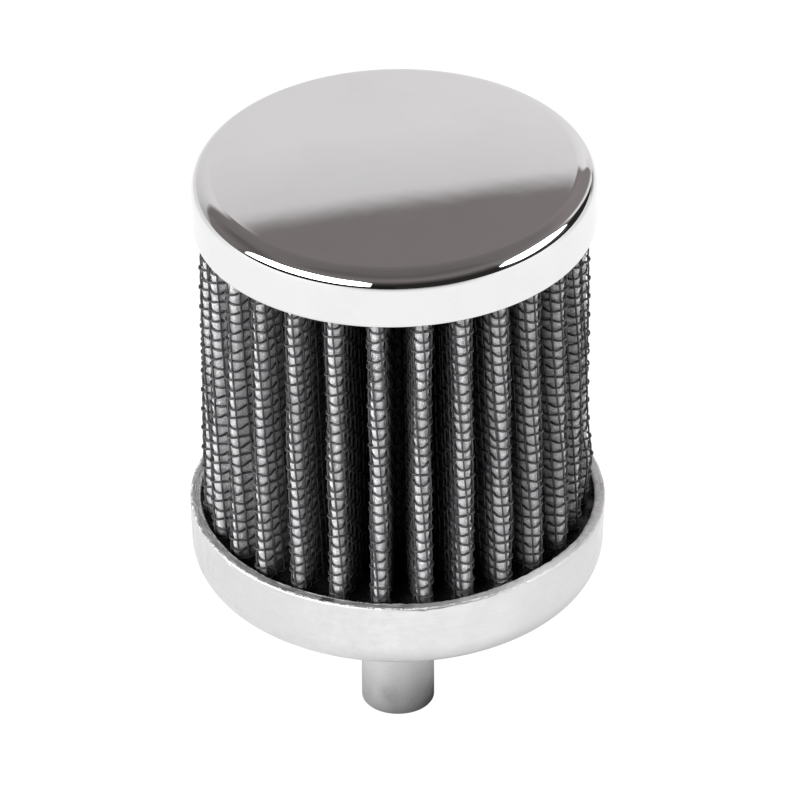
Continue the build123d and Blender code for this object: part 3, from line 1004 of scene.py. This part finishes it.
def step(v, edge, soft):
    """0 below the edge, 1 above it."""
    back = -soft if isinstance(soft, (int, float)) else wn.math("MULTIPLY", soft, -1.0)
    return wn.remap(v, shift(edge, back), shift(edge, soft), 0, 1, True)


def band(v, lo, hi, soft):
    """1 between lo and hi, both numbers or sockets."""
    return wn.math("MULTIPLY", step(v, lo, soft), wn.math("SUBTRACT", 1.0, step(v, hi, soft)))


def by_angle(source, points, top=60.0):
    """Piecewise linear value, up to top, against an angle in degrees."""
    lo, hi = points[0][0], points[-1][0]
    r = wn.ramp(wn.remap(source, lo, hi), [((a - lo) / (hi - lo), h / top) for a, h in points])
    return wn.math("MULTIPLY", r, top)


# the dark room, warm grey: lighter to the right and just above the sheet
low = by_angle(az, [(-90, 0.105), (-62, 0.115), (-50, 0.165), (-25, 0.180), (-5, 0.190),
                    (5, 0.210), (14, 0.235), (60, 0.220)], 1.0)
low = wn.math("ADD", low, wn.math("MULTIPLY", band(az, -95, -55, 4),
                                  wn.remap(el, 18, 40, 0.065, -0.01)))
high = wn.remap(el, 55, 78, 0.165, 0.140, True)
front = wn.mix(wn.remap(el, 36, 54, 0, 1, True), low, high)
back = by_angle(el, [(0, 0.012), (11, 0.012), (19, 0.020), (27, 0.050), (35, 0.110), (42, 0.178),
                     (49, 0.172), (58, 0.135), (67, 0.115), (78, 0.130), (90, 0.140)], 1.0)
room = wn.mix(wn.remap(wn.math("ABSOLUTE", az), 84, 106, 0, 1, True), front, back)
# a slanting light strip low at the right, a glow above it and darkness below
strip_el = by_angle(az, [(33, 0), (36.5, 2.5), (43, 9.5), (49, 15.0), (54, 20), (62, 26), (71, 30)])
over = wn.math("SUBTRACT", el, strip_el)
reach_r = band(az, 33, 68, 2.5)
room = wn.mix(wn.math("MULTIPLY", reach_r, wn.remap(over, 12, 1, 0, 1, True)), room,
              wn.math("MULTIPLY", room, 1.7))
under = wn.math("MULTIPLY", wn.remap(over, -1, -5, 0, 1, True), step(az, 35, 2))
under = wn.math("MULTIPLY", under, wn.remap(el, 17, 27, 1, 0, True))
room = wn.mix(under, room, (0.022, 0.022, 0.022))
col = wn.mix(1.0, room, (1.07, 0.975, 0.955), "MULTIPLY")
strip = wn.math("MULTIPLY", band(over, -4.2, 4.2, 1.4), band(az, 34, 63, 3))
col = wn.mix(strip, col, (0.84, 0.84, 0.84))
# a light grey background sheet with a curved top edge, softer towards its ends
sheet_top = by_angle(az, [(-70, 0), (-66, 1), (-60, 9), (-55, 14), (-50, 20), (-45, 25.5),
                          (-40, 29.5), (-34, 34.3), (-27, 37.5), (-20, 38.9), (-14, 37.9),
                          (-9, 36.0), (-5.5, 34.2), (-3.6, 33.49), (-2.8, 33.33), (-1.2, 33.0),
                          (-0.45, 32.86), (0.0, 32.72), (0.4, 32.63), (1.0, 32.52),
                          (1.4, 32.39), (5, 31.95), (10, 31.1), (15, 29.9), (19, 28.2),
                          (23, 25.4), (25.5, 22.2), (28, 17.7), (30, 12.3), (33, 6), (36, 0)])
blur = by_angle(az, [(-66, 3.5), (-24, 2.6), (-12, 1.2), (-5, 0.4), (2, 0.4), (10, 0.6),
                     (20, 1.2), (36, 1.8)], 4.0)
tone = by_angle(az, [(-66, 0.38), (-54, 0.48), (-46, 0.60), (-39, 0.66), (-28, 0.72), (-15, 0.745),
                     (-5, 0.75), (-1.5, 0.765), (1.5, 0.79), (8, 0.80), (15, 0.82), (24, 0.86), (31, 0.74), (36, 0.62)], 1.0)
inside = wn.math("SUBTRACT", sheet_top, el)
near_top = wn.math("MULTIPLY", wn.remap(inside, -0.2, 2.3, 0.17, 0.0),
                   wn.remap(az, 0.0, 3.5, 1, 0, True))
tone = wn.math("MULTIPLY", tone, wn.math("SUBTRACT", 1.0, near_top))
sheet = wn.math("MULTIPLY", step(inside, 0.0, blur), band(az, -68, 37, 1.0))
col = wn.mix(sheet, col, wn.mix(1.0, tone, (1.01, 0.99, 1.0), "MULTIPLY"))
# two softboxes, a long one at the front left and a smaller one at the right
left_top = by_angle(az, [(-172, 22), (-165, 30), (-158, 35.5), (-141, 37.5), (-128, 37.3),
                         (-117, 35), (-106, 32.5), (-98, 29), (-93, 21), (-88, 14)])
left_low = by_angle(az, [(-172, 11), (-158, 11), (-136, 12.5), (-124, 12.5), (-114, 12),
                         (-102, 10.5), (-88, 9)])
box_l = wn.math("MULTIPLY", band(el, left_low, left_top, 0.7), band(az, -166.5, -93, 0.7))
right_top = by_angle(az, [(66, 18), (71, 25), (77, 33.5), (88, 37), (104, 36.5), (114, 33),
                          (120, 24), (124, 19)])
right_low = by_angle(az, [(66, 19.5), (78, 17), (89, 15), (100, 14), (110, 14), (121, 18),
                          (124, 20)])
box_r = wn.math("MULTIPLY", band(el, right_low, right_top, 1.0), band(az, 70, 121, 0.7))
halo = wn.math("MULTIPLY", band(el, 11, 42, 5.0), band(az, 74, 118, 4))
col = wn.mix(halo, col, wn.math("MAXIMUM", col, 0.22))
key = by_angle(az, [(-170, 0.62 * KEY), (-150, 0.80 * KEY), (-125, 1.2 * KEY), (-88, 1.9 * KEY)],
               20.0)
col = wn.mix(box_l, col, key)
col = wn.mix(box_r, col, (FILL, FILL, FILL))
# below the horizon, past the floor's end: as pale as the floor
full = wn.math("ADD", az, wn.math("MULTIPLY", wn.math("LESS_THAN", az, 0.0), 360.0))
far = wn.math("MULTIPLY", wn.math("MULTIPLY", wn.remap(full, 120, 156, 0, 1, True),
                                  wn.remap(full, 180, 222, 1, 0, True)), 0.84)
behind = wn.remap(wn.math("ABSOLUTE", az), 100, 60, 0, 0.26, True)
col = wn.mix(wn.remap(el, -0.3, 0.0, 1, 0), col,
             wn.math("SUBTRACT", 1.10, wn.math("ADD", far, behind)))
wn.put(wn.bg.inputs["Color"], col)
wn.bg.inputs["Strength"].default_value = 1.0

# ---------------------------------------------------------------------- camera
F_PX, DIST, ELEV, ROLL = 9294.16, 1200.0, math.radians(33.2552), math.radians(-0.13875)
C = np.array([0, -DIST * math.cos(ELEV), DIST * math.sin(ELEV) + 28])
T = np.array([0.3427, 0, 24.787])
fw = (T - C) / np.linalg.norm(T - C)
r = np.cross(fw, [0, 0, 1])
r /= np.linalg.norm(r)
u = np.cross(r, fw)
r2 = r * math.cos(ROLL) + u * math.sin(ROLL)
u2 = -r * math.sin(ROLL) + u * math.cos(ROLL)
cam = bpy.data.cameras.new("camera")
cam.sensor_width = 36.0
cam.sensor_fit = "HORIZONTAL"
cam.lens = F_PX * 36.0 / 800.0
cam.clip_start, cam.clip_end = 0.05, 50
co = bpy.data.objects.new("camera", cam)
co.matrix_world = Matrix([[r2[k], u2[k], -fw[k], C[k] * MM] for k in range(3)] + [[0, 0, 0, 1]])
bpy.context.scene.collection.objects.link(co)
bpy.context.scene.camera = co
bpy.context.scene.view_settings.view_transform = "Standard"
bpy.context.scene.view_settings.look = "None"
